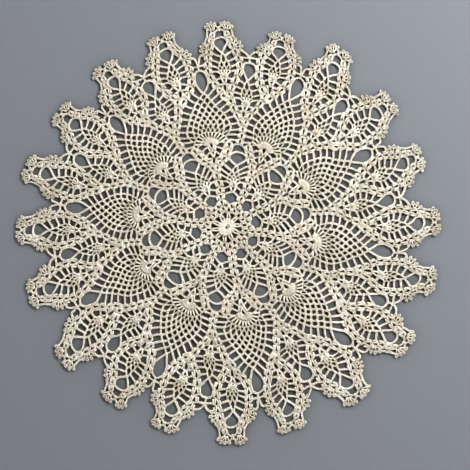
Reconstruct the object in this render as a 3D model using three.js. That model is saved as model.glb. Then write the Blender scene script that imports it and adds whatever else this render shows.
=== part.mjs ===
// Round crochet lace tablecloth, worked in one piece from the centre out and laid flat on a table.
// Ten repeats of a pineapple lace: a ring of small pineapples round the starting rosette, a ring of
// great pineapples, a second ring of small ones between them, and twenty more in the points of the edge.
// Millimetres and degrees. +Z is up, the underside is z = 0 and the origin is the starting ring.
// Bearings run clockwise from +Y, as seen from above.
import * as THREE from 'three';

// Thread and layers
const THICKNESS = 2.4;
const CHAIN_WIDTH = 2.8;
const GAP_END_BULGE = 0.7;

// Layout of the repeats
const REPEATS = 10;
const REPEAT_ANGLE = 360 / REPEATS;
const FIRST_BEARING = -9.8;
const EDGE_POINT_ANGLE = REPEAT_ANGLE / 4;

// Starting rosette: a petal gap on each great pineapple's bearing, a round hole between each two
const PETAL = { bottom: 9.6, widest: 15, top: 18.6, halfWidth: 3.1 };
const ROUND_HOLE = { radius: 7.4, reach: 42.2 };

// Tip of the thread net of each kind of pineapple, from the centre
const INNER_TIP = 90;
const GREAT_TIP = 198.4;
const SECOND_TIP = 215;

// Large holes over the tips, from the centre
const INNER_HOLE = { bottom: 91.6, widest: 100.2, top: 107, halfWidth: 11 };
const INNER_CAP = { bottom: 109.6, widest: 115, top: 120, halfWidth: 7.6 };
const GREAT_DROP = { bottom: 200.6, widest: 221, top: 233, halfWidth: 8.3 };
const SECOND_DROP = { bottom: 217.6, widest: 232.5, top: 243.6, halfWidth: 8.6 };
const EDGE_HOLE = { bottom: 257.8, widest: 269, top: 275.4, halfWidth: 8.4 };
const EDGE_CAP = { bottom: 278.2, widest: 283, top: 287, halfWidth: 6.4 };

// Bars that tie each round of a great pineapple's net to the shells beside it, the lowest cut gap first:
// where the bar leaves the net and where it meets the shells, along the axis and beside it
const GREAT_BARS = [
  { netReach: 137.9, netSide: 28.0, shellReach: 138.3, shellSide: 40.0 },
  { netReach: 145.8, netSide: 28.4, shellReach: 147.8, shellSide: 40.4 },
  { netReach: 155.1, netSide: 26.4, shellReach: 157.6, shellSide: 39.4 },
  { netReach: 163.2, netSide: 23.6, shellReach: 168.0, shellSide: 36.2 },
  { netReach: 170.4, netSide: 20.0, shellReach: 177.5, shellSide: 32.4 },
  { netReach: 178.4, netSide: 14.9, shellReach: 187.0, shellSide: 27.6 },
  { netReach: 185.7, netSide: 10.1, shellReach: 196.0, shellSide: 22.6 },
  { netReach: 192.0, netSide: 5.1, shellReach: 203.8, shellSide: 16.6 },
  { netReach: GREAT_TIP, netSide: 0, shellReach: 213.7, shellSide: 9.9 },
];

// The top two bars of a small pineapple, measured from its tip; the inner ones open wider
const INNER_BARS = [
  { netReach: -5.8, netSide: 3.6, shellReach: 3.6, shellSide: 17.0 },
  { netReach: 0, netSide: 0, shellReach: 10.0, shellSide: 13.0 },
];
const SECOND_BARS = [
  { netReach: -5.8, netSide: 3.6, shellReach: 2.6, shellSide: 12.4 },
  { netReach: 0, netSide: 0, shellReach: 12.1, shellSide: 8.5 },
];

// Scalloped edge of one point, from the valley beside it to its blunt tip: picots and the dips between
const GREAT_VALLEY = 238.5;
const SECOND_VALLEY = 250;
const EDGE_NOTCH = 294;
const EDGE_PROFILE = [
  { reach: 246.0, side: 35.2 },
  { reach: 252.5, side: 34.8 },
  { reach: 256.0, side: 31.2 },
  { reach: 261.5, side: 33.0 },
  { reach: 264.5, side: 28.6 },
  { reach: 269.5, side: 28.6 },
  { reach: 276.5, side: 19.8 },
  { reach: 285.5, side: 22.4 },
  { reach: 288.3, side: 18.8 },
  { reach: 294.5, side: 19.2 },
  { reach: 294.6, side: 14.8 },
  { reach: 299.6, side: 10.6 },
];

// How the hand-laid cloth departs from an even chart, a row for each point of the edge, clockwise:
// turn in degrees and reach in millimetres, of the point's tip, of the drop hole on its clockwise side
// and of the fan or hole nearer the centre on that same bearing
const LAY = [
  { tipTurn: -1.8, tipReach: -7, dropTurn: 0.0, dropReach: -5, coreTurn: 1.1, coreReach: -2 },
  { tipTurn: -0.9, tipReach: -13, dropTurn: 0.5, dropReach: 2, coreTurn: 0.2, coreReach: 0 },
  { tipTurn: -2.4, tipReach: 3, dropTurn: -0.5, dropReach: 5, coreTurn: -0.1, coreReach: -1 },
  { tipTurn: -0.5, tipReach: -3, dropTurn: 0.0, dropReach: -1, coreTurn: -0.4, coreReach: -2 },
  { tipTurn: -1.7, tipReach: -3, dropTurn: 0.6, dropReach: 0, coreTurn: -0.1, coreReach: -1 },
  { tipTurn: -0.8, tipReach: 4, dropTurn: 0.5, dropReach: 5, coreTurn: 1.3, coreReach: 2 },
  { tipTurn: -2.8, tipReach: 7, dropTurn: -0.9, dropReach: 9, coreTurn: 0.0, coreReach: -1 },
  { tipTurn: -2.1, tipReach: 11, dropTurn: -0.8, dropReach: 10, coreTurn: 1.0, coreReach: -1 },
  { tipTurn: -1.0, tipReach: 11, dropTurn: -0.6, dropReach: 4, coreTurn: -0.6, coreReach: 1 },
  { tipTurn: 0.8, tipReach: 4, dropTurn: -1.2, dropReach: 6, coreTurn: -1.4, coreReach: 2 },
  { tipTurn: -0.7, tipReach: 9, dropTurn: -1.5, dropReach: 0, coreTurn: 0.1, coreReach: -1 },
  { tipTurn: 0.4, tipReach: 2, dropTurn: -0.8, dropReach: 0, coreTurn: 0.5, coreReach: -5 },
  { tipTurn: -2.2, tipReach: -1, dropTurn: 0.3, dropReach: -2, coreTurn: 1.6, coreReach: 2 },
  { tipTurn: -2.1, tipReach: 3, dropTurn: 0.3, dropReach: -1, coreTurn: 1.4, coreReach: 3 },
  { tipTurn: -0.2, tipReach: -2, dropTurn: 0.4, dropReach: -3, coreTurn: 0.7, coreReach: 1 },
  { tipTurn: 0.2, tipReach: -1, dropTurn: -0.6, dropReach: -4, coreTurn: 0.3, coreReach: 3 },
  { tipTurn: -0.5, tipReach: 0, dropTurn: -1.6, dropReach: -4, coreTurn: -0.9, coreReach: 2 },
  { tipTurn: -0.7, tipReach: -9, dropTurn: -1.0, dropReach: -6, coreTurn: -2.4, coreReach: 0 },
  { tipTurn: -0.8, tipReach: -9, dropTurn: -1.2, dropReach: -5, coreTurn: -1.9, coreReach: -1 },
  { tipTurn: -0.4, tipReach: -10, dropTurn: 0.2, dropReach: -8, coreTurn: -1.0, coreReach: -2 },
];
const LAY_STEP = 360 / LAY.length;
const AXIS_BEARING = FIRST_BEARING + REPEAT_ANGLE / 2;
const TIP_BEARING = FIRST_BEARING + EDGE_POINT_ANGLE;
const LAY_RINGS = [
  { radius: 114, turn: 'coreTurn', reach: 'coreReach', first: AXIS_BEARING },
  { radius: 225, turn: 'dropTurn', reach: 'dropReach', first: AXIS_BEARING },
  { radius: 297, turn: 'tipTurn', reach: 'tipReach', first: TIP_BEARING },
];

const { lerp, smoothstep, euclideanModulo, degToRad, radToDeg, clamp } = THREE.MathUtils;

// Value of one column of the lay at a bearing, eased from row to row round the cloth
function layAround(column, first, bearing) {
  const place = euclideanModulo((bearing - first) / LAY_STEP, LAY.length);
  const row = Math.floor(place);
  const next = (row + 1) % LAY.length;
  return lerp(LAY[row][column], LAY[next][column], smoothstep(place - row, 0, 1));
}

// A point of the even chart, moved to where the hand-laid cloth has it
function laid(radius, bearing) {
  let turn = 0;
  let reach = 0;
  let innerRadius = 0;
  for (const ring of LAY_RINGS) {
    const share = clamp((radius - innerRadius) / (ring.radius - innerRadius), 0, 1);
    turn = lerp(turn, layAround(ring.turn, ring.first, bearing), share);
    reach = lerp(reach, layAround(ring.reach, ring.first, bearing), share);
    innerRadius = ring.radius;
  }
  const angle = degToRad(bearing + turn);
  return new THREE.Vector2(Math.sin(angle), Math.cos(angle)).multiplyScalar(radius + reach);
}

// Points given along an axis and beside it, clockwise side positive, as points of the laid cloth
function onAxis(axisBearing, points) {
  return points.map(({ reach, side }) => {
    const radius = Math.hypot(reach, side);
    return laid(radius, axisBearing + radToDeg(Math.atan2(side, reach)));
  });
}

// Hole that opens from a point into a round top
function dropHole({ bottom, widest, top, halfWidth }, archSteps) {
  const points = [{ reach: bottom, side: 0 }];
  for (let step = 0; step <= archSteps; step += 1) {
    const angle = Math.PI * (step / archSteps);
    points.push({
      reach: widest + (top - widest) * Math.sin(angle),
      side: halfWidth * Math.cos(angle),
    });
  }
  return points;
}

// Round hole on an axis
function roundHole({ radius, reach }, sides) {
  return Array.from({ length: sides }, (_, index) => {
    const angle = (2 * Math.PI * index) / sides;
    return { reach: reach + radius * Math.cos(angle), side: radius * Math.sin(angle) };
  });
}

// Corner of a gap beside a bar, half a chain from the bar and half a chain from what the bar ends on
function barCorner(bar, tip, atShell, above) {
  const riseReach = bar.shellReach - bar.netReach;
  const riseSide = bar.shellSide - bar.netSide;
  const length = Math.hypot(riseReach, riseSide);
  const along = atShell ? length - CHAIN_WIDTH / 2 : CHAIN_WIDTH / 2;
  const across = above ? CHAIN_WIDTH / 2 : -CHAIN_WIDTH / 2;
  return {
    reach: tip + bar.netReach + (along * riseReach + across * riseSide) / length,
    side: bar.netSide + (along * riseSide - across * riseReach) / length,
  };
}

// Middle of a gap's end, bulged outwards
function bulgedEnd(first, second, bulge) {
  return { reach: (first.reach + second.reach) / 2, side: (first.side + second.side) / 2 + bulge };
}

// Gap between two neighbouring bars on the clockwise side of a pineapple
function barGap(lower, upper, tip) {
  const lowerNet = barCorner(lower, tip, false, true);
  const lowerShell = barCorner(lower, tip, true, true);
  const upperShell = barCorner(upper, tip, true, false);
  const upperNet = barCorner(upper, tip, false, false);
  return [
    lowerNet,
    lowerShell,
    bulgedEnd(lowerShell, upperShell, GAP_END_BULGE),
    upperShell,
    upperNet,
    bulgedEnd(upperNet, lowerNet, -GAP_END_BULGE),
  ];
}

function mirrored(points) {
  return points.map(({ reach, side }) => ({ reach, side: -side }));
}

// The gaps between all bars of a pineapple, on both sides of it
function barGaps(bars, tip) {
  const clockwise = bars.slice(1).map((upper, index) => barGap(bars[index], upper, tip));
  return [...clockwise, ...clockwise.map(mirrored)];
}

// All gaps that are cut through in one repeat, whose middle is a great pineapple
function repeatGaps(bearing) {
  const between = bearing + REPEAT_ANGLE / 2;
  const great = [dropHole(PETAL, 4), dropHole(GREAT_DROP, 8), ...barGaps(GREAT_BARS, 0)];
  const small = [
    roundHole(ROUND_HOLE, 10),
    dropHole(INNER_HOLE, 8),
    dropHole(INNER_CAP, 6),
    ...barGaps(INNER_BARS, INNER_TIP),
    dropHole(SECOND_DROP, 8),
    ...barGaps(SECOND_BARS, SECOND_TIP),
  ];
  const edge = [dropHole(EDGE_HOLE, 8), dropHole(EDGE_CAP, 6)];
  return [
    ...great.map((gap) => onAxis(bearing, gap)),
    ...small.map((gap) => onAxis(between, gap)),
    ...edge.map((gap) => onAxis(bearing - EDGE_POINT_ANGLE, gap)),
    ...edge.map((gap) => onAxis(bearing + EDGE_POINT_ANGLE, gap)),
  ];
}

// Outline of one repeat, clockwise: a valley and a point on each side of the great pineapple's bearing
function repeatOutline(bearing) {
  const falling = [...EDGE_PROFILE].reverse();
  const point = [
    ...mirrored(EDGE_PROFILE),
    { reach: EDGE_NOTCH, side: 0 },
    ...falling,
  ];
  return [
    laid(SECOND_VALLEY, bearing - 2 * EDGE_POINT_ANGLE),
    ...onAxis(bearing - EDGE_POINT_ANGLE, point),
    laid(GREAT_VALLEY, bearing),
    ...onAxis(bearing + EDGE_POINT_ANGLE, point),
  ];
}

function laceCloth() {
  const outline = [];
  const gaps = [];
  for (let repeat = 0; repeat < REPEATS; repeat += 1) {
    const bearing = FIRST_BEARING + repeat * REPEAT_ANGLE;
    outline.push(...repeatOutline(bearing));
    gaps.push(...repeatGaps(bearing));
  }
  const shape = new THREE.Shape(outline.reverse());
  shape.holes = gaps.map((points) => new THREE.Path(points));
  const geometry = new THREE.ExtrudeGeometry(shape, { depth: THICKNESS, bevelEnabled: false, steps: 1 });
  const cotton = new THREE.MeshStandardMaterial({ color: 0xe3d5ba, roughness: 0.92, metalness: 0 });
  const cloth = new THREE.Mesh(geometry, cotton);
  cloth.name = 'lace_cloth';
  return cloth;
}

const tablecloth = new THREE.Group();
tablecloth.add(laceCloth());

export default tablecloth;
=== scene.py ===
import math

import bpy
import numpy as np
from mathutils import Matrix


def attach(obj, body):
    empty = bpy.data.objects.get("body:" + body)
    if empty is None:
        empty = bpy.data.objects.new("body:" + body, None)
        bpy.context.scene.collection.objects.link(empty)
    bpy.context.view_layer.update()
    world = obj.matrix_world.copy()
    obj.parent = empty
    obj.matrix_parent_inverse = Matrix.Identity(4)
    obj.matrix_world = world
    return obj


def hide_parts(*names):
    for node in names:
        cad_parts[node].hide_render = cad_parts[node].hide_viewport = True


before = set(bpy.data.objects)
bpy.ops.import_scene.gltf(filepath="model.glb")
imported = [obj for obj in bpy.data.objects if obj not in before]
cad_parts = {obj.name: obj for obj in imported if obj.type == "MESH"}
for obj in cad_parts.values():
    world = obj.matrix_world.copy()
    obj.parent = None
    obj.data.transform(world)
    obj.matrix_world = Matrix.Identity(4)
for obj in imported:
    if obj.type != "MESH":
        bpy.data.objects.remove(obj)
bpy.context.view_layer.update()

# The thread and its two stitches. The cloth is one plied ecru cotton thread, about 1.2 mm thick, worked
# with a hook: the chain, whose loops pull through each other like links, and the double crochet, a post
# of thread wound round itself that stands on the round before. Millimetres; up is away from the table.
CHAIN_LENGTH = 3.6
POST_LENGTH = 8.5
THREAD_SIDES = 4
# Each leg of a chain's loop: along the stitch, out to its side, up, and the thread's half thickness
CHAIN_LEG = np.array([
    [-0.80, 0.16, 0.62, 0.44],
    [0.60, 0.82, 1.05, 0.66],
    [2.30, 0.94, 1.42, 0.66],
    [3.90, 0.26, 1.70, 0.46],
])
POST_RINGS = 4
POST_TWIST = 0.5 * math.pi
POST_SPREAD = 0.74
POST_HEIGHT = 1.45
POST_FLATTENED = 0.75
POST_THREAD = 0.80
# A strand's places on the bake map, in shares of its own cell: corner and size of its side and of its ends
SIDE_CORNER = (0.04, 0.14)
SIDE_SIZE = (0.92, 0.82)
END_CORNERS = ((0.05, 0.02), (0.55, 0.02))
END_SIZE = (0.4, 0.09)
END_WOUND = 0.25


def thread_tube(path, half_thick):
    """Corners and faces of a closed tube of thread along a path, its winding and its bake map."""
    tangent = np.gradient(path, axis=0)
    tangent /= np.linalg.norm(tangent, axis=1, keepdims=True)
    side = np.cross(tangent, [0, 0, 1])
    side /= np.linalg.norm(side, axis=1, keepdims=True)
    top = np.cross(side, tangent)
    angles = np.arange(THREAD_SIDES) * 2 * math.pi / THREAD_SIDES
    across = np.cos(angles)[:, None] * side[:, None] + np.sin(angles)[:, None] * top[:, None]
    corners = (path[:, None] + half_thick[:, None, None] * across).reshape(-1, 3)
    length = np.r_[0, np.cumsum(np.linalg.norm(np.diff(path, axis=0), axis=1))]
    faces, wound, spread = [], [], []
    last = len(path) - 1
    for ring in range(last):
        for k in range(THREAD_SIDES):
            after = (k + 1) % THREAD_SIDES
            low, high = ring * THREAD_SIDES, (ring + 1) * THREAD_SIDES
            faces.append([low + k, high + k, high + after, low + after])
            turn = np.array([k, k, k + 1, k + 1]) / THREAD_SIDES
            climb = np.array([ring, ring + 1, ring + 1, ring])
            wound.append(np.stack([turn, length[climb]], 1))
            spread.append(np.stack([turn, climb / last], 1) * SIDE_SIZE + SIDE_CORNER)
    square = np.array([[0, 0], [1, 0], [1, 1], [0, 1]])
    for ring, order, corner in ((0, [0, 1, 2, 3], END_CORNERS[0]), (last, [3, 2, 1, 0], END_CORNERS[1])):
        faces.append([ring * THREAD_SIDES + k for k in order])
        wound.append(square * END_WOUND)
        spread.append(square * END_SIZE + corner)
    return corners, np.array(faces), np.array(wound), np.array(spread)


def stitch_of(strands):
    """Two strands as one stitch, with the thread's winding and a place on the bake map for each face."""
    corners, faces, wound, spread = [], [], [], []
    for index, (path, half_thick) in enumerate(strands):
        tube = thread_tube(path, half_thick)
        faces.append(tube[1] + sum(map(len, corners)))
        corners.append(tube[0])
        wound.append(tube[2])
        spread.append((tube[3] + [index, 0]) / [len(strands), 1])
    return {
        "corners": np.concatenate(corners),
        "faces": np.concatenate(faces),
        "wound": np.concatenate(wound),
        "spread": np.concatenate(spread),
    }


def chain_stitch():
    """One chain: two legs of a loop, drawn together where they pull through the next loop."""
    legs = []
    for side in (-1, 1):
        legs.append((CHAIN_LEG[:, :3] * [1, side, 1], CHAIN_LEG[:, 3]))
    return stitch_of(legs) | {"length": CHAIN_LENGTH}


def post_stitch():
    """One double crochet: two strands wound a quarter turn round each other."""
    share = np.linspace(0, 1, POST_RINGS)
    strands = []
    for start in (0, math.pi):
        wind = start + POST_TWIST * (share - 0.5)
        path = np.stack([
            share * POST_LENGTH,
            POST_SPREAD * np.cos(wind),
            POST_HEIGHT + POST_FLATTENED * POST_SPREAD * np.sin(wind),
        ], 1)
        strands.append((path, np.full(POST_RINGS, POST_THREAD)))
    return stitch_of(strands) | {"length": POST_LENGTH}


# Steps from point to point of a run of chain
CURVE_STEPS = 10
# Stitches of one repeat: where each starts and ends, its width and how far it is lifted
chains, posts = [], []


def at(axis, reach, side=0.0):
    """A point given along an axis and beside it, clockwise side positive. Axes turn clockwise from +Y."""
    turn = math.radians(axis)
    along = np.array([math.sin(turn), math.cos(turn)])
    beside = np.array([math.cos(turn), -math.sin(turn)])
    return reach * along + side * beside


def smooth_path(points):
    """A curve through the points, closely stepped."""
    points = np.asarray(points, float)
    ends = np.vstack([2 * points[0] - points[1], points, 2 * points[-1] - points[-2]])
    t = np.linspace(0, 1, CURVE_STEPS, endpoint=False)[:, None]
    curve = []
    for a, b, c, d in zip(ends, ends[1:], ends[2:], ends[3:]):
        curve.append(0.5 * (
            2 * b + (c - a) * t + (2 * a - 5 * b + 4 * c - d) * t**2 + (3 * b - a - 3 * c + d) * t**3
        ))
    return np.vstack([*curve, points[-1:]])


def chain(points, width=1.0, lift=0.0, pitch=CHAIN_LENGTH):
    """A run of chain stitches along a curve through the points."""
    curve = smooth_path(points)
    walked = np.r_[0, np.cumsum(np.linalg.norm(np.diff(curve, axis=0), axis=1))]
    count = max(1, round(walked[-1] / pitch))
    places = np.linspace(0, walked[-1], count + 1)
    knots = np.stack([np.interp(places, walked, curve[:, i]) for i in (0, 1)], 1)
    for start, end in zip(knots, knots[1:]):
        chains.append([*start, *end, width, lift])


def post(foot, head, width=1.0):
    """One double crochet from its foot to its head."""
    posts.append([*foot, *head, width, 0.0])


# The starting rosette. Twenty long posts stand in a small ring of chain, drawn together in ten pairs, and
# chain arches span from pair to pair, so that ten petal gaps stay open.
# Axis halfway between two great pineapples, in degrees from the axis of one
BETWEEN = 18.0
RING_REACH = 2.3
RING_WIDTH = 0.6
FOOT_TURN = 9.0
# Middle and head of a spoke, along and beside its pair's axis, and the widths of its two lengths
SPOKE_MIDDLE = (12.8, 1.9)
SPOKE_HEAD = (20.4, 1.3)
SPOKE_WIDTHS = (1.02, 0.8)
# The arch from pair to pair: share of the way to a pair, and reach
ARCH = ((-1, 20.8), (-0.5, 21.72), (0, 22.6), (0.5, 21.72), (1, 20.8))

chain([at(turn, RING_REACH) for turn in (-BETWEEN, 0, BETWEEN)], RING_WIDTH)
for side in (-1, 1):
    middle = at(BETWEEN, SPOKE_MIDDLE[0], SPOKE_MIDDLE[1] * side)
    post(at(BETWEEN + FOOT_TURN * side, RING_REACH), middle, SPOKE_WIDTHS[0])
    post(middle, at(BETWEEN, SPOKE_HEAD[0], SPOKE_HEAD[1] * side), SPOKE_WIDTHS[1])
chain([at(BETWEEN * share, reach) for share, reach in ARCH])


# The shell columns. A shell is two double crochets, two chains and two double crochets in one space;
# each stands on the two chains of the shell below, over their open space, so the shells stack into columns
# that run from the rosette to the edge, fork round each pineapple and meet again over it.
SHELL_WIDTH = 9.4
SHELL_FOOT = 3.0
SHELL_POST = 0.88
SPACE_HALF = 3.2
SPACE_SHARE = 0.36
SPACE_TOP = 2.8
SHELL_LIFT = 0.35
# Outer and inner posts of a shell: how far their heads stand past the space, and how close their feet are
OUTER_RISE, OUTER_FOOT = -0.9, 0.86
INNER_RISE, INNER_FOOT = 0.4, 0.36


def shell(foot, space, width=SHELL_WIDTH):
    """A shell over the space below it, up to its own open space."""
    along = (space - foot) / np.linalg.norm(space - foot)
    beside = np.array([along[1], -along[0]])
    outer, inner = width / 2, min(SPACE_HALF, SPACE_SHARE * width)
    rim = []
    for side, rise, closeness in (
        (-outer, OUTER_RISE, OUTER_FOOT), (-inner, INNER_RISE, INNER_FOOT),
        (inner, INNER_RISE, INNER_FOOT), (outer, OUTER_RISE, OUTER_FOOT),
    ):
        head = space + side * beside + rise * along
        post(foot + SHELL_FOOT * along + closeness * side * beside, head, SHELL_POST)
        rim.append(head)
    chain([rim[0], rim[1], space + SPACE_TOP * along, rim[2], rim[3]], lift=SHELL_LIFT)


def column(spaces, width=SHELL_WIDTH, first=None):
    """Shells from space to space; the first one after a fork is narrower."""
    for index, (foot, space) in enumerate(zip(spaces, spaces[1:])):
        shell(foot, space, first if first and index == 0 else width)


def beside_axis(axis, places, side=1, foot=0.0):
    """Points of places given along an axis and beside it, on one side of the axis."""
    return [at(axis, foot + reach, beside * side) for reach, beside in places]


def both_sides(axis, places, foot=0.0, lift=0.0):
    """A run of chain on each side of an axis."""
    for side in (-1, 1):
        chain(beside_axis(axis, places, side, foot), lift=lift)


# First column, on the great pineapple's axis, and its fork
FIRST_SPACES = (19.0, 27.6, 37.6, 47.3, 57.3, 68.0, 78.0)
FIRST_WIDTHS = (10.4, 10.2, 10.0, 10.2, 10.2, 10.0)
FIRST_FORK = (87.8, 4.1)
FORK_WIDTH = 8.2
for foot, space, width in zip(FIRST_SPACES, FIRST_SPACES[1:], FIRST_WIDTHS):
    shell(at(0, foot), at(0, space), width)

# Arms of that fork, along the neighbouring inner pineapples' axes: along and beside
INNER_ARM = ((92.4, 21.5), (100.7, 17.5), (110.4, 14.3), (120.4, 13.2))
for side in (-1, 1):
    fork = at(0, FIRST_FORK[0], FIRST_FORK[1] * side)
    shell(at(0, FIRST_SPACES[-1]), fork, FORK_WIDTH)
    column([fork, *beside_axis(BETWEEN * side, INNER_ARM, -side)], first=FORK_WIDTH)

# The two arms over an inner pineapple meet in one shell, over an arch of chain
MEETING_FOOT = 118.8
MEETING = 127.8
MEETING_ARCH = (
    (110.6, -10.0), (113.8, -10.2), (117.2, -8.6), (119.9, -5.8), (121.4, 0),
    (119.9, 5.8), (117.2, 8.6), (113.8, 10.2), (110.6, 10.0),
)
shell(at(BETWEEN, MEETING_FOOT), at(BETWEEN, MEETING))
chain(beside_axis(BETWEEN, MEETING_ARCH))

# Second column, between the great pineapples, and its fork with two arms
SECOND_SPACES = (MEETING, 137.0, 146.4)
SECOND_ARM = ((155.8, 4.4), (165.3, 10.0), (174.0, 16.3), (183.5, 21.8))
column([at(BETWEEN, reach) for reach in SECOND_SPACES])
for side in (-1, 1):
    arm = beside_axis(BETWEEN, SECOND_ARM, side)
    shell(at(BETWEEN, SECOND_SPACES[-1]), arm[0], FORK_WIDTH)
    column(arm, first=FORK_WIDTH)

# Forks of those arms under each point of the edge, and the arms round its pineapple up to the tip: on the
# side towards the great pineapple and on the other side
EDGE_AXIS = 9.0
GREAT_SIDE_ARM = (
    (194.4, 4.0), (202.2, 9.0), (210.6, 15.6), (220.4, 21.2), (230.5, 23.6),
    (240.4, 23.8), (249.8, 22.4), (258.4, 19.6), (266.4, 16.0),
)
SECOND_SIDE_ARM = (
    (195.6, 5.2), (205.8, 11.6), (216.2, 17.6), (227.0, 22.0),
    (237.8, 23.4), (247.8, 23.0), (257.2, 20.2), (266.2, 16.2),
)
TIP_ARM = ((266.3, 16.1), (274.6, 12.4), (282.6, 9.6))
TIP_WIDTH = 6.8
EDGE_WIDTH = 10.4
for axis in (-EDGE_AXIS, EDGE_AXIS):
    outward = math.copysign(1, axis)
    foot = beside_axis(BETWEEN * outward, SECOND_ARM, -outward)[-1]
    for side, places in ((-outward, GREAT_SIDE_ARM), (outward, SECOND_SIDE_ARM)):
        arm = beside_axis(axis, places, side)
        shell(foot, arm[0], FORK_WIDTH)
        column(arm, EDGE_WIDTH, first=FORK_WIDTH)
        column(beside_axis(axis, TIP_ARM, side), TIP_WIDTH)

# Chains along the slit of each fork: along and beside
FIRST_SLIT = ((88.6, 0.7), (91.2, 1.2), (93.4, 2.7), (96.8, 3.1), (101.2, 3.2))
SECOND_SLIT = ((157.8, 0.7), (161.4, 1.2), (163.8, 2.8), (166.8, 3.3), (170.0, 3.6))
EDGE_SLIT = ((195.4, 0.7), (198.6, 1.2), (200.8, 2.8), (204.4, 3.3), (208.8, 3.6))
both_sides(0, FIRST_SLIT)
both_sides(BETWEEN, SECOND_SLIT)
both_sides(-EDGE_AXIS, EDGE_SLIT)
both_sides(EDGE_AXIS, EDGE_SLIT)


# The links round the rosette. Chains join neighbouring columns in each round, and two posts stand between
# the first and the second of them; between the second and the third a round hole stays open.
# A link's reach and side at its ends, and its reach at the middle
LINKS = ((27.0, 4.0, 28.6), (38.0, 4.6, 33.2), (47.0, 5.4, 51.3))
LINK_POST = ((27.8, 0.9), (33.2, 0.9))
for reach, beside, middle in LINKS:
    chain([at(0, reach, beside), at(BETWEEN, middle), at(2 * BETWEEN, reach, -beside)])
for side in (-1, 1):
    post(*beside_axis(BETWEEN, LINK_POST, side))


# The small pineapples: ten round the rosette, ten between the great ones and twenty in the points. Five
# long double crochets and six short ones fan out from a stem of two, rounds of chain loops narrow from them
# to a tip, bars of chain tie each round to the shells, and a ring of chain rounds the hole over the tip.
INNER_FAN = 61.0
SECOND_FAN = 180.6
EDGE_FAN = 221.2
# A stem's posts and its link to the shells beside it, from the middle of the fan: along and beside
STEM = ((-10.4, 0.8), (-2.6, 3.9))
STEM_WIDTH = 0.95
STEM_LINK = ((-2.2, 0.0), (-2.0, 3.8), (-3.6, 8.2), (-6.2, 12.8))
# Degrees from post to post of a fan, and the posts' places counted in such steps
INNER_STEP = 31.0
OUTER_STEP = 27.0
LONG_PLACES = (-2, -1, 0, 1, 2)
SHORT_PLACES = (-1.5, -0.5, 0.5, 1.5)
RIM_PLACES = (-2, -1.33, -0.67, 0, 0.67, 1.33, 2)
SIDE_TURN = 82.0
FAN_FOOT = 0.6
SHORT_LENGTH = 6.4
LONG_WIDTH = 0.9
SIDE_WIDTH = 1.05
SHORT_WIDTH = 0.8
# The fan's rim, which widens by so much at that turn, and the first knots over it
FAN_RIM = 10.2
FAN_WIDENS = 0.8
FAN_WIDENS_AT = 42.0
FAN_RIM_WIDTH = 0.72
KNOT_RISE = 0.8
# Knots of the rounds of loops over the fan: how far, how far the outer ones stand to the side, how many
INNER_ROUNDS = ((15.2, 6.4, 3), (20.6, 3.8, 2))
OUTER_ROUNDS = ((16.8, 6.9, 3), (23.4, 4.1, 2))
# Widths of the first round of loops, which is worked tighter, and of the others
SMALL_NET = (0.7, 0.9)
SHOULDER_RISE = 0.16
SHOULDER_SPREAD = 0.14
# Bars from the net to the shells, from the middle of the fan: along and beside at both ends
INNER_BARS = (
    ((5.6, 10.5), (5.4, 17.4)), ((10.4, 9.2), (15.6, 20.0)),
    ((15.2, 6.4), (23.2, 20.2)), ((20.6, 3.8), (30.6, 17.6)),
)
OUTER_BARS = (
    ((6.6, 9.5), (6.2, 18.8)), ((12.8, 8.2), (14.6, 20.4)),
    ((20.2, 5.6), (24.0, 19.6)), ((28.2, 2.4), (34.6, 16.2)),
)
# Chain round each hole over a tip, from the tip to the top of the hole: along and beside
INNER_HOLE = ((90.0, 0), (94.6, 6.8), (99.4, 12.0), (102.8, 12.5), (106.6, 9.6), (108.8, 4.6), (109.4, 0))
SECOND_DROP = (
    (214.4, 0), (221.0, 4.4), (227.4, 8.9), (233.4, 10.1), (238.6, 8.2), (241.8, 4.8), (243.0, 0),
)
EDGE_HOLE = (
    (254.6, 0), (260.6, 5.0), (265.8, 9.6), (270.2, 10.2), (274.4, 7.7), (276.2, 4.0), (276.7, 0),
)
# How far bars lie over the stitches that they meet, and chains round the holes and from stems to the shells
BAR_LIFT = 0.1
OVER_LIFT = 0.15


def polar(axis, centre, turn, length):
    """A point at a turn from an axis and a length from a centre on it."""
    angle = math.radians(turn)
    return at(axis, centre + length * math.cos(angle), length * math.sin(angle))


def loop(start, top, end, width):
    """A chain loop that rises from one knot to its top and comes down to the next knot."""
    middle = 0.5 * (start + end)
    shoulders = []
    for foot in (start, end):
        halfway = 0.5 * (foot + top)
        shoulders.append(halfway + SHOULDER_RISE * (top - middle) + SHOULDER_SPREAD * (foot - middle))
    chain([start, shoulders[0], top, shoulders[1], end], width)


def net(rounds, widths):
    """Chain loops from round to round: the top of each loop is a knot of the next round."""
    first, rest = widths
    for index, (knots, tops) in enumerate(zip(rounds, rounds[1:])):
        for start, top, end in zip(knots, tops, knots[1:]):
            loop(start, top, end, rest if index else first)


def bars(axis, rows, foot=0.0):
    """Bars of chain from the net to the shells, on both sides of an axis."""
    for ends in rows:
        both_sides(axis, ends, foot, BAR_LIFT)


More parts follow.
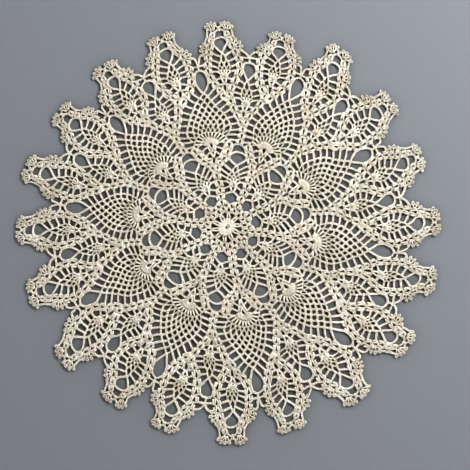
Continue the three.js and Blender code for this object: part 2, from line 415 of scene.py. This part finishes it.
def small_pineapple(axis, fan, step, rounds, rows, hole):
    """A small pineapple on an axis, its fan's middle so far along it, up to the hole over its tip."""
    for side in (-1, 1):
        post(*beside_axis(axis, STEM, side, fan), STEM_WIDTH)
    both_sides(axis, STEM_LINK, fan, OVER_LIFT)

    def foot_at(turn):
        return polar(axis, fan, turn, FAN_FOOT)

    def rim_at(turn, beyond=0.0):
        return polar(axis, fan, turn, FAN_RIM + FAN_WIDENS * (turn / FAN_WIDENS_AT) ** 2 + beyond)

    for place in LONG_PLACES:
        post(foot_at(step * place), rim_at(step * place), LONG_WIDTH)
    for turn in (-SIDE_TURN, SIDE_TURN):
        post(foot_at(turn), polar(axis, fan, turn, SHORT_LENGTH), SIDE_WIDTH)
    for place in SHORT_PLACES:
        post(foot_at(step * place), polar(axis, fan, step * place, SHORT_LENGTH), SHORT_WIDTH)
    chain([rim_at(step * place) for place in RIM_PLACES], FAN_RIM_WIDTH)
    knots = [[rim_at(step * place, KNOT_RISE) for place in SHORT_PLACES]]
    for height, half, count in rounds:
        knots.append([at(axis, fan + height, side) for side in np.linspace(-half, half, count)])
    knots.append([at(axis, hole[0][0])])
    net(knots, SMALL_NET)
    bars(axis, rows, fan)
    both_sides(axis, hole, lift=OVER_LIFT)


small_pineapple(BETWEEN, INNER_FAN, INNER_STEP, INNER_ROUNDS, INNER_BARS, INNER_HOLE)
small_pineapple(BETWEEN, SECOND_FAN, OUTER_STEP, OUTER_ROUNDS, OUTER_BARS, SECOND_DROP)
for axis in (-EDGE_AXIS, EDGE_AXIS):
    small_pineapple(axis, EDGE_FAN, OUTER_STEP, OUTER_ROUNDS, OUTER_BARS, EDGE_HOLE)

# Chains across under the outer stems and over the caps of the points: their axis, reach and side at the
# ends, and reach at the middle
ACROSS = (
    (BETWEEN, 169.8, 7.0, 171.2),
    (-EDGE_AXIS, 209.0, 7.0, 210.4),
    (EDGE_AXIS, 209.0, 7.0, 210.4),
    (-EDGE_AXIS, 283.6, 8.2, 289.0),
    (EDGE_AXIS, 283.6, 8.2, 289.0),
)
ACROSS_ROUND = 0.72
for axis, reach, beside, middle in ACROSS:
    quarter = reach + ACROSS_ROUND * (middle - reach)
    chain([
        at(axis, reach, -beside), at(axis, quarter, -beside / 2), at(axis, middle),
        at(axis, quarter, beside / 2), at(axis, reach, beside),
    ])


# The great pineapples. Posts and chains on the fork carry a wide fan of double crochets; a second round of
# posts on it makes a ribbed rim, and nine rounds of loops narrow from nine loops to one at the tip.
GREAT_FAN = 121.0
GREAT_STEM_WIDTH = 0.85
# The fan: where its posts start and end, how many they are, and the turns of the last post and of its chain
DOME_FOOT = 1.8
DOME_LENGTH = 12.6
DOME_POSTS = 13
DOME_SPREAD = 76.0
DOME_WIDTH = 0.8
DOME_EDGE = 80.0
DOME_EDGE_PLACES = 9
DOME_EDGE_WIDTH = 0.7
DOME_EDGE_LIFT = -0.1
# The rim, which widens by so much at that turn
RIM_LENGTH = 20.4
RIM_WIDENS = 2.4
RIM_WIDENS_AT = 69.0
RIM_STEP = 15.3
RIM_POSTS = 11
RIM_POST_WIDTH = 0.9
RIM_EDGE = 84.0
RIM_EDGE_PLACES = 13
RIM_EDGE_WIDTH = 0.72
# Knots of each round of loops: how many, along the axis, half spread, and the drop of the outer ones
GREAT_ROUNDS = (
    (9, 149.9, 26.8, 12.6), (8, 155.8, 28.5, 9.9), (7, 161.3, 26.4, 6.2), (6, 167.0, 23.6, 3.8),
    (5, 172.7, 20.0, 2.3), (4, 179.3, 14.9, 1.0), (3, 185.7, 10.1, 0.0), (2, 192.0, 5.1, 0.0),
)
GREAT_NET = (0.68, 0.95)
# Bars from the net to the shells: along and beside at both ends
GREAT_BARS = (
    ((124.0, 23.0), (121.6, 34.4)), ((131.0, 24.0), (130.4, 37.0)), ((137.4, 26.4), (138.3, 39.2)),
    ((145.8, 28.4), (147.8, 40.2)), ((155.1, 26.4), (157.6, 39.4)), ((163.2, 23.6), (168.0, 36.2)),
    ((170.4, 20.0), (178.0, 33.4)), ((178.4, 14.9), (188.6, 30.0)), ((185.7, 10.1), (199.0, 25.6)),
    ((192.0, 5.1), (206.6, 19.4)),
)
GREAT_DROP = ((198.4, 0), (205.6, 4.6), (213.6, 8.9), (221.4, 9.8), (228.2, 8.0), (232.8, 4.4), (234.6, 0))
# Posts under the fan, from foot to head, and chains from them to the arms beside: along and beside
GREAT_STEM = (
    ((101.4, 0.3), (110.4, 3.1)), ((112.6, 0.3), (121.8, 4.0)),
    ((111.0, 3.4), (119.8, 5.9)), ((121.0, 3.0), (122.2, 10.2)),
)
GREAT_LINKS = (
    ((111.9, 0.0), (110.6, 3.2), (108.6, 6.4), (105.0, 10.2)),
    ((118.2, 6.0), (117.0, 9.8), (113.2, 15.0)),
    ((124.4, 14.6), (121.4, 19.8)),
    (
        (100.6, 4.4), (101.4, 7.6), (104.6, 9.8), (109.0, 12.2),
        (113.0, 14.6), (118.0, 18.4), (124.2, 28.0),
    ),
)


def fan_place(turn, length):
    return polar(0, GREAT_FAN, turn, length)


def rim_place(turn):
    return fan_place(turn, RIM_LENGTH + RIM_WIDENS * (turn / RIM_WIDENS_AT) ** 2)


def rim_turns(count):
    """Turns of so many places along the rim, a step apart."""
    return RIM_STEP * (np.arange(count) - (count - 1) / 2)


for ends in GREAT_STEM:
    for side in (-1, 1):
        post(*beside_axis(0, ends, side), GREAT_STEM_WIDTH)
for places in GREAT_LINKS:
    both_sides(0, places, lift=OVER_LIFT)
for turn in np.linspace(-DOME_SPREAD, DOME_SPREAD, DOME_POSTS):
    post(fan_place(turn, DOME_FOOT), fan_place(turn, DOME_LENGTH), DOME_WIDTH)
dome_edge = np.linspace(-DOME_EDGE, DOME_EDGE, DOME_EDGE_PLACES)
chain([fan_place(turn, DOME_LENGTH) for turn in dome_edge], DOME_EDGE_WIDTH, DOME_EDGE_LIFT)
for turn in rim_turns(RIM_POSTS):
    post(fan_place(turn, DOME_LENGTH), rim_place(turn), RIM_POST_WIDTH)
chain([rim_place(turn) for turn in np.linspace(-RIM_EDGE, RIM_EDGE, RIM_EDGE_PLACES)], RIM_EDGE_WIDTH)
great_rounds = [[rim_place(turn) for turn in rim_turns(RIM_POSTS - 1)]]
for count, reach, half, drop in GREAT_ROUNDS:
    sides = np.linspace(-half, half, count)
    great_rounds.append([at(0, reach - drop * (side / half) ** 2, side) for side in sides])
great_rounds.append([at(0, GREAT_DROP[0][0])])
net(great_rounds, GREAT_NET)
bars(0, GREAT_BARS)
both_sides(0, GREAT_DROP, lift=OVER_LIFT)


# The picot edging. Long chains run down to each valley between the points, clusters of double crochets
# stand on the outer shells at the sides and the tip of a point, and a picot, a small knotted loop of
# chain, sits on each of their posts.
# A picot's height, its half width as a share of that, and the way round it in shares of the two
PICOT_SIZE = 3.6
PICOT_HALF_WIDTH = 0.52
PICOT_LOOP = ((0.0, -0.5), (0.4, -1.0), (0.85, -0.7), (1.05, 0.0), (0.85, 0.7), (0.4, 1.0), (0.0, 0.5))
PICOT_STITCH = {"width": 0.66, "lift": 0.2, "pitch": 2.4}
# Clusters: the middle they fan out from, their feet and heads from it, and the turns of their posts; on the
# side towards the great pineapple, on the other side, and at the tip
GREAT_SIDE_CLUSTER = {"centre": (257.2, 19.6), "foot": 4.2, "head": 10.6, "turns": (26, 56, 86, 116)}
SECOND_SIDE_CLUSTER = {"centre": (262.4, 17.4), "foot": 4.2, "head": 10.6, "turns": (20, 50, 80, 110)}
TIP_CLUSTER = {"centre": (285.0, 8.6), "foot": 2.6, "head": 10.8, "turns": (-17, 8, 33, 58)}
CLUSTER_POST_WIDTH = 0.72
CLUSTER_RIM_WIDTH = 0.8
# Chain from the tip's cluster to the side's, the chain that ties it to the column, and the notch of the tip
WAIST = ((284.4, 17.6), (278.4, 18.4))
BRIDGE = ((275.6, 13.2), (278.4, 18.2))
NOTCH = 291.4
NOTCH_POST = 5.0
NOTCH_WIDTH = 0.8
# Between two points: the axis, the knot over the drop hole and the top of that hole, the end of the chain
# from the knot to the arms, and the bow from the knot to the clusters
GREAT_VALLEY = {
    "axis": 0.0, "knot": 240.4, "top": 235.0,
    "across": (239.6, 10.4), "bow": ((246.4, 1.8), (251.0, 3.0), (254.2, 6.4)),
}
SECOND_VALLEY = {
    "axis": BETWEEN, "knot": 250.4, "top": 243.4,
    "across": (248.6, 12.0), "bow": ((254.8, 2.8), (258.2, 7.2)),
}


def cluster_place(axis, side, centre, turn, length):
    angle = math.radians(turn)
    return at(axis, centre[0] + length * math.cos(angle), side * (centre[1] + length * math.sin(angle)))


def picot(foot, tip):
    across = PICOT_HALF_WIDTH * np.array([tip[1] - foot[1], foot[0] - tip[0]])
    chain([foot + up * (tip - foot) + out * across for up, out in PICOT_LOOP], **PICOT_STITCH)


def cluster(axis, side, form):
    """A cluster of posts, each with its picot, and the chain along their heads, which are returned."""
    heads = []
    for turn in form["turns"]:
        foot = cluster_place(axis, side, form["centre"], turn, form["foot"])
        head = cluster_place(axis, side, form["centre"], turn, form["head"])
        post(foot, head, CLUSTER_POST_WIDTH)
        picot(head, cluster_place(axis, side, form["centre"], turn, form["head"] + PICOT_SIZE))
        heads.append(head)
    chain(heads, CLUSTER_RIM_WIDTH)
    return heads


for axis in (-EDGE_AXIS, EDGE_AXIS):
    inner_heads = []
    outward = math.copysign(1, axis)
    for side in (-1, 1):
        towards_great = side * axis < 0
        side_heads = cluster(axis, side, GREAT_SIDE_CLUSTER if towards_great else SECOND_SIDE_CLUSTER)
        tip_heads = cluster(axis, side, TIP_CLUSTER)
        chain([tip_heads[-1], *beside_axis(axis, WAIST, side), side_heads[0]])
        chain(beside_axis(axis, BRIDGE, side))
        valley = GREAT_VALLEY if towards_great else SECOND_VALLEY
        valley_axis = valley["axis"] * outward
        knot = at(valley_axis, valley["knot"])
        chain([knot, *beside_axis(valley_axis, valley["bow"], -side), side_heads[-1]])
        chain([knot, *beside_axis(valley_axis, [valley["across"]], -side)])
        inner_heads.append(tip_heads[0])
    chain([inner_heads[0], at(axis, NOTCH), inner_heads[1]])
    post(at(axis, NOTCH - NOTCH_POST), at(axis, NOTCH), NOTCH_WIDTH)
for valley in (GREAT_VALLEY, SECOND_VALLEY):
    chain([at(valley["axis"], valley["top"]), at(valley["axis"], valley["knot"])])


# The cotton: ecru, matt, plied from fine fibres. Its colour drifts from stitch to stitch between ivory, a
# warm straw and a rosy tone, and the plies show as slanting ridges round the thread.
IVORY = (0.88, 0.855, 0.812, 1)
STRAW = (0.78, 0.728, 0.645, 1)
ROSY = (0.86, 0.785, 0.738, 1)

cotton = bpy.data.materials.new("ecru_cotton_thread")
cotton.use_nodes = True
nodes, links = cotton.node_tree.nodes, cotton.node_tree.links
shader = nodes["Principled BSDF"]
shader.inputs["Roughness"].default_value = 0.88
shader.inputs["Specular IOR Level"].default_value = 0.25
shader.inputs["Sheen Weight"].default_value = 0.25
shader.inputs["Sheen Roughness"].default_value = 0.5
place = nodes.new("ShaderNodeTexCoord")


def noise(scale, detail):
    node = nodes.new("ShaderNodeTexNoise")
    node.inputs["Scale"].default_value = scale
    node.inputs["Detail"].default_value = detail
    links.new(place.outputs["Object"], node.inputs["Vector"])
    return node.outputs["Fac"]


def mixed(share, first, second):
    node = nodes.new("ShaderNodeMix")
    node.data_type = "RGBA"
    links.new(share, node.inputs["Factor"])
    for socket, value in ((node.inputs["A"], first), (node.inputs["B"], second)):
        if isinstance(value, tuple):
            socket.default_value = value
        else:
            links.new(value, socket)
    return node.outputs["Result"]


def stretched(value, low, high):
    node = nodes.new("ShaderNodeMapRange")
    node.inputs["From Min"].default_value = low
    node.inputs["From Max"].default_value = high
    links.new(value, node.inputs["Value"])
    return node.outputs["Result"]


drift = stretched(noise(scale=28, detail=2), low=0.35, high=0.7)
blush = stretched(noise(scale=13, detail=1), low=0.45, high=0.75)
fibres = stretched(noise(scale=2600, detail=2), low=0.3, high=0.75)
warm = mixed(drift, IVORY, mixed(blush, STRAW, ROSY))
links.new(mixed(fibres, warm, IVORY), shader.inputs["Base Color"])

winding = nodes.new("ShaderNodeUVMap")
winding.uv_map = "winding"
plies = nodes.new("ShaderNodeTexWave")
plies.bands_direction = "DIAGONAL"
plies.inputs["Scale"].default_value = 0.55
plies.inputs["Distortion"].default_value = 0.6
plies.inputs["Detail"].default_value = 1
links.new(winding.outputs["UV"], plies.inputs["Vector"])
ply_ridges = nodes.new("ShaderNodeBump")
ply_ridges.inputs["Strength"].default_value = 0.5
ply_ridges.inputs["Distance"].default_value = 0.00025
links.new(plies.outputs["Fac"], ply_ridges.inputs["Height"])
links.new(ply_ridges.outputs["Normal"], shader.inputs["Normal"])


# The cloth laid out. Ten repeats of the chart close the round; spread by hand, it departs a little from an
# even round, so each point, drop hole and inner pineapple has its own turn and reach.
REPEATS = 10
REPEAT_ANGLE = 36.0
FIRST_BEARING = -9.8
# A row for each point of the edge, clockwise: turn in degrees and reach in millimetres of the point's tip,
# of the drop hole on its clockwise side, and of the fan or hole nearer the centre on that bearing
LAY = np.array([
    [-1.8, -7, 0.0, -5, 1.1, -2], [-0.9, -13, 0.5, 2, 0.2, 0],
    [-2.4, 3, -0.5, 5, -0.1, -1], [-0.5, -3, 0.0, -1, -0.4, -2],
    [-1.7, -3, 0.6, 0, -0.1, -1], [-0.8, 4, 0.5, 5, 1.3, 2],
    [-2.8, 7, -0.9, 9, 0.0, -1], [-2.1, 11, -0.8, 10, 1.0, -1],
    [-1.0, 11, -0.6, 4, -0.6, 1], [0.8, 4, -1.2, 6, -1.4, 2],
    [-0.7, 9, -1.5, 0, 0.1, -1], [0.4, 2, -0.8, 0, 0.5, -5],
    [-2.2, -1, 0.3, -2, 1.6, 2], [-2.1, 3, 0.3, -1, 1.4, 3],
    [-0.2, -2, 0.4, -3, 0.7, 1], [0.2, -1, -0.6, -4, 0.3, 3],
    [-0.5, 0, -1.6, -4, -0.9, 2], [-0.7, -9, -1.0, -6, -2.4, 0],
    [-0.8, -9, -1.2, -5, -1.9, -1], [-0.4, -10, 0.2, -8, -1.0, -2],
])
TIP, DROP, CORE = 0, 2, 4
# Rings that the rows are read on, from the centre: reach, which pair of the row, bearing of the first row
LAY_RINGS = ((114.0, CORE, 2 * EDGE_AXIS), (225.0, DROP, 2 * EDGE_AXIS), (297.0, TIP, EDGE_AXIS))
# The hand's unevenness: of a stitch's ends, width and height, and slow waves along the rounds, whose
# length, bend and bend's length are given for both directions
HAND_SEED = 7
JITTER = 0.2
WIDTH_SPREAD = 0.05
LIFT_SPREAD = 0.12
WAVER = 0.95
WAVER_SIDEWAYS = (7.1, 1.3, 23.0)
WAVER_UPWARDS = (6.3, 1.7, 19.0)
# Share of a stitch's cell on the bake map that it fills, and the margin beside it
CELL_FILL = 0.94
CELL_MARGIN = 0.03
MM = 0.001


def lay_around(pair_at, first, bearing):
    """Turn and reach at each bearing, eased from row to row round the cloth."""
    place_along = ((bearing - FIRST_BEARING - first) / (360 / len(LAY))) % len(LAY)
    row = np.floor(place_along).astype(int) % len(LAY)
    part = place_along - np.floor(place_along)
    ease = (part * part * (3 - 2 * part))[:, None]
    pair = LAY[:, pair_at:pair_at + 2]
    return pair[row] * (1 - ease) + pair[(row + 1) % len(LAY)] * ease


def laid(points):
    """Points of the even chart, moved to where the hand-laid cloth has them."""
    radius = np.hypot(points[:, 0], points[:, 1])
    bearing = np.degrees(np.arctan2(points[:, 0], points[:, 1]))
    shift = np.zeros((len(points), 2))
    inner = 0.0
    for ring, pair_at, first in LAY_RINGS:
        share = np.clip((radius - inner) / (ring - inner), 0, 1)[:, None]
        shift = shift * (1 - share) + lay_around(pair_at, first, bearing) * share
        inner = ring
    angle = np.radians(bearing + shift[:, 0])
    radius = radius + shift[:, 1]
    return np.stack([radius * np.sin(angle), radius * np.cos(angle)], 1)


def wavering(along, across, form):
    """A slow wave along one direction, bent a little as it goes across."""
    length, bend, bend_length = form
    return np.sin(along / length + bend * np.sin(across / bend_length))


def worked(stitch, runs, hand):
    """All stitches of one kind, each set along its run with a little of the hand's unevenness."""
    runs = np.array(runs)
    start = runs[:, 0:2] + hand.normal(0, JITTER, (len(runs), 2))
    end = runs[:, 2:4] + hand.normal(0, JITTER, (len(runs), 2))
    width = runs[:, 4] * hand.normal(1, WIDTH_SPREAD, len(runs))
    lift = runs[:, 5] + np.abs(hand.normal(0, LIFT_SPREAD, len(runs)))
    along = (end - start) / stitch["length"]
    beside = np.stack([-along[:, 1], along[:, 0]], 1) / np.linalg.norm(along, axis=1, keepdims=True)
    corners = stitch["corners"]
    flat = (
        start[:, None]
        + corners[None, :, 0:1] * along[:, None]
        + corners[None, :, 1:2] * (beside * width[:, None])[:, None]
    )
    height = corners[None, :, 2] + lift[:, None]
    return np.concatenate([flat, height[..., None]], 2).reshape(-1, 3)


def repeat_mesh(number, kinds):
    """One repeat of the cloth as one mesh, turned to its bearing and laid with the cloth's unevenness."""
    hand = np.random.default_rng(HAND_SEED + number)
    corners, faces, wound, cells = [], [], [], []
    for stitch, runs in kinds:
        made = worked(stitch, runs, hand)
        offset = sum(map(len, corners)) + len(stitch["corners"]) * np.arange(len(runs))
        faces.append((stitch["faces"][None] + offset[:, None, None]).reshape(-1, 4))
        corners.append(made)
        wound.append(np.tile(stitch["wound"], (len(runs), 1, 1)))
        cells += [stitch["spread"]] * len(runs)
    corners = np.concatenate(corners)
    turn = math.radians(FIRST_BEARING + number * REPEAT_ANGLE)
    x, y = corners[:, 0], corners[:, 1]
    flat = laid(np.stack([
        x * math.cos(turn) + y * math.sin(turn),
        y * math.cos(turn) - x * math.sin(turn),
    ], 1))
    x, y = flat[:, 0], flat[:, 1]
    waver = np.stack([wavering(y, x, WAVER_SIDEWAYS), wavering(x, y, WAVER_UPWARDS)], 1)
    corners = np.column_stack([flat + WAVER * waver, corners[:, 2]]) * MM
    mesh = bpy.data.meshes.new(f"lace_repeat_{number + 1:02d}")
    faces = np.concatenate(faces)
    mesh.from_pydata(corners.tolist(), [], faces.tolist())
    mesh.polygons.foreach_set("use_smooth", np.ones(len(faces), bool))
    side = math.ceil(math.sqrt(len(cells)))
    bake = np.concatenate([
        (cell * CELL_FILL + CELL_MARGIN + [index % side, index // side]) / side
        for index, cell in enumerate(cells)
    ])
    for name, places in (("winding", np.concatenate(wound)), ("OFBake", bake)):
        layer = mesh.uv_layers.new(name=name, do_init=False)
        layer.uv.foreach_set("vector", places.astype(np.float32).ravel())
    mesh.materials.append(cotton)
    mesh.update()
    return mesh


stitch_kinds = ((chain_stitch(), chains), (post_stitch(), posts))
for number in range(REPEATS):
    mesh = repeat_mesh(number, stitch_kinds)
    lace = bpy.data.objects.new(mesh.name, mesh)
    bpy.context.collection.objects.link(lace)
    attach(lace, "root")
    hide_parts("lace_cloth")


# The table under the cloth, a plain light grey surface, with a soft light from the upper right and a softer
# one from all round low down, so that the gaps of the lace stay dark. The darkest gaps keep a warm brown.
FLOOR_COLOUR = (0.325, 0.345, 0.38, 1)
FLOOR_HALF = 14.0
FLOOR_DROP = 0.0002
KEY_POWER = 46
KEY_SIZE = 0.4
KEY_COLOUR = (1.0, 0.97, 0.92)
KEY_PLACE = (1.68, 1.49, 1.3)
FILL_COLOUR = (0.95, 0.97, 1.0, 1)
# Strength of the fill low down and above, and the heights between which it falls off
FILL_LOW = 2.9
FILL_ABOVE = 0.03
FILL_FALLS = (0.2, 0.75)
VIEW_GAMMA = 0.6
VIEW_EXPOSURE = 0.47
WARM_BLACK = (0.06, 0.075, 0.102)

floor_mesh = bpy.data.meshes.new("floor")
floor_mesh.from_pydata(
    [(x * FLOOR_HALF, y * FLOOR_HALF, -FLOOR_DROP) for x, y in ((-1, -1), (1, -1), (1, 1), (-1, 1))],
    [], [(0, 1, 2, 3)],
)
floor = bpy.data.objects.new("floor", floor_mesh)
bpy.context.collection.objects.link(floor)
floor_paint = bpy.data.materials.new("pale_floor")
floor_paint.use_nodes = True
floor_shader = floor_paint.node_tree.nodes["Principled BSDF"]
floor_shader.inputs["Base Color"].default_value = FLOOR_COLOUR
floor_shader.inputs["Roughness"].default_value = 0.9
floor_mesh.materials.append(floor_paint)

key_data = bpy.data.lights.new("key", "AREA")
key_data.energy = KEY_POWER
key_data.size = KEY_SIZE
key_data.color = KEY_COLOUR
key = bpy.data.objects.new("key", key_data)
key.location = KEY_PLACE
key.rotation_euler = (-key.location).to_track_quat("-Z", "Y").to_euler()
bpy.context.collection.objects.link(key)

world = bpy.data.worlds.new("studio")
world.use_nodes = True
sky_nodes, sky_links = world.node_tree.nodes, world.node_tree.links
background = sky_nodes["Background"]
background.inputs["Color"].default_value = FILL_COLOUR
direction = sky_nodes.new("ShaderNodeTexCoord")
height = sky_nodes.new("ShaderNodeSeparateXYZ")
fill = sky_nodes.new("ShaderNodeMapRange")
fill.interpolation_type = "SMOOTHSTEP"
fill.inputs["From Min"].default_value = FILL_FALLS[0]
fill.inputs["From Max"].default_value = FILL_FALLS[1]
fill.inputs["To Min"].default_value = FILL_LOW
fill.inputs["To Max"].default_value = FILL_ABOVE
sky_links.new(direction.outputs["Generated"], height.inputs["Vector"])
sky_links.new(height.outputs["Z"], fill.inputs["Value"])
sky_links.new(fill.outputs["Result"], background.inputs["Strength"])
bpy.context.scene.world = world

view = bpy.context.scene.view_settings
view.view_transform = "Standard"
view.gamma = VIEW_GAMMA
view.exposure = VIEW_EXPOSURE
view.use_curve_mapping = True
view.curve_mapping.black_level = WARM_BLACK
view.curve_mapping.update()


# The camera, straight over the cloth and square to it, so that the round shows as a round. The cloth lies a
# little up and left of the middle of the picture.
IMAGE_SIZE = 470
PIXEL = 1.42 * MM
CLOTH_CENTRE = (226.5, 227.5)
CAMERA_HEIGHT = 1.7

camera_data = bpy.data.cameras.new("camera")
camera_data.lens = camera_data.sensor_width * CAMERA_HEIGHT / (IMAGE_SIZE * PIXEL)
camera = bpy.data.objects.new("camera", camera_data)
camera.location = (
    (IMAGE_SIZE / 2 - CLOTH_CENTRE[0]) * PIXEL,
    (CLOTH_CENTRE[1] - IMAGE_SIZE / 2) * PIXEL,
    CAMERA_HEIGHT,
)
bpy.context.collection.objects.link(camera)
bpy.context.scene.camera = camera
